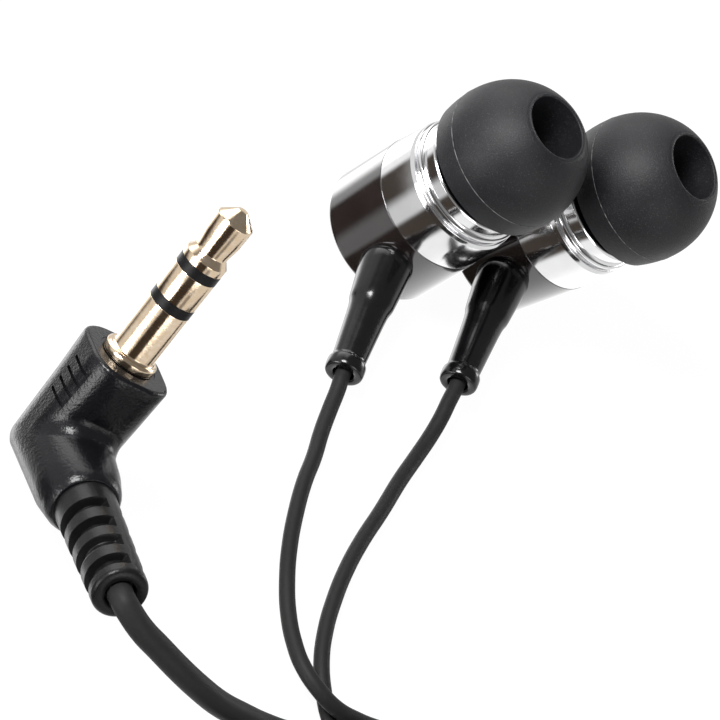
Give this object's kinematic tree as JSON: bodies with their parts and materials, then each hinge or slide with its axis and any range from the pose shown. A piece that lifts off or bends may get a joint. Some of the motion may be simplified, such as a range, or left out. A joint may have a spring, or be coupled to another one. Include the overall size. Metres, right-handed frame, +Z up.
{
  "type": "wired earphones",
  "caption": "Wired in-ear earphones: chrome and black round earpieces with soft tips, thin coiled cords, a splitter and a right-angle audio plug.",
  "frame": {"origin": "On the table plane, midway between the extents of the two earpieces with their stems and ear tips; cords, splitter and plug are left out of that box.", "axes": "+Z points up from the table and along the left earpiece's axis from its rear face to its ear tip; the right earpiece leans 9 degrees towards +X; the stems run towards -Y; +X goes from the left earpiece to the right one."},
  "size_m": [0.077, 0.0904, 0.0248],
  "materials": {
    "rear_housing": "piano black, polished",
    "front_housing": "bright chrome plating",
    "nozzle": "bright chrome plating, turned",
    "nozzle_mesh": "fine woven steel mesh",
    "ear_tip": "soft translucent dark silicone, satin",
    "stem": "black elastomer, glossy",
    "driver_frame": "moulded, satin",
    "driver_yoke": "zinc-plated steel",
    "driver_magnet": "nickel-plated magnet",
    "driver_top_plate": "zinc-plated steel",
    "voice_coil": "enamelled copper wire",
    "diaphragm": "thin clear film, satin",
    "rear_damper": "thin porous paper felt",
    "cord_jacket": "matte dark jacket",
    "cord_splitter": "moulded, fine texture",
    "tie_strap": "matte elastic strap",
    "gold_contact": "gold-plated, polished",
    "insulator": "black, smooth",
    "plug_body": "moulded, fine spark texture",
    "plug_boot": "moulded, satin"
  },
  "bodies": {
    "earphones": {"left_rear_housing": "rear_housing", "left_front_housing": "front_housing", "left_nozzle": "nozzle", "left_nozzle_mesh": "nozzle_mesh", "left_stem": "stem", "left_driver_frame": "driver_frame", "left_driver_yoke": "driver_yoke", "left_driver_magnet": "driver_magnet", "left_driver_top_plate": "driver_top_plate", "left_rear_damper": "rear_damper", "left_cord": "cord_jacket", "left_cord_coil": "cord_jacket", "left_cord_tail": "cord_jacket", "right_rear_housing": "rear_housing", "right_front_housing": "front_housing", "right_nozzle": "nozzle", "right_nozzle_mesh": "nozzle_mesh", "right_stem": "stem", "right_driver_frame": "driver_frame", "right_driver_yoke": "driver_yoke", "right_driver_magnet": "driver_magnet", "right_driver_top_plate": "driver_top_plate", "right_rear_damper": "rear_damper", "right_cord": "cord_jacket", "right_cord_coil": "cord_jacket", "right_cord_tail": "cord_jacket", "cord_splitter": "cord_splitter", "main_cord": "cord_jacket", "main_cord_coil": "cord_jacket", "main_cord_tail": "cord_jacket", "main_coil_tie": "tie_strap", "ear_coil_tie": "tie_strap", "tip_contact": "gold_contact", "ring_contact": "gold_contact", "sleeve_contact": "gold_contact", "front_insulator": "insulator", "rear_insulator": "insulator", "plug_body": "plug_body", "plug_boot": "plug_boot"},
    "left_tip": {"left_ear_tip": "ear_tip"},
    "right_tip": {"right_ear_tip": "ear_tip"},
    "left_cone": {"left_diaphragm": "diaphragm", "left_voice_coil": "voice_coil"},
    "right_cone": {"right_diaphragm": "diaphragm", "right_voice_coil": "voice_coil"}
  },
  "joints": [
    {"name": "left_tip_slide", "type": "slide", "parent": "earphones", "child": "left_tip", "axis": [0, 0, 1], "range_m": [0, 0.007]},
    {"name": "left_cone_travel", "type": "slide", "parent": "earphones", "child": "left_cone", "axis": [0, 0, 1], "range_m": [-0.0002, 0.0002], "stiffness_N_per_m": 40},
    {"name": "right_tip_slide", "type": "slide", "parent": "earphones", "child": "right_tip", "axis": [0.1564, 0, 0.9877], "range_m": [0, 0.007]},
    {"name": "right_cone_travel", "type": "slide", "parent": "earphones", "child": "right_cone", "axis": [0.1564, 0, 0.9877], "range_m": [-0.0002, 0.0002], "stiffness_N_per_m": 40}
  ]
}
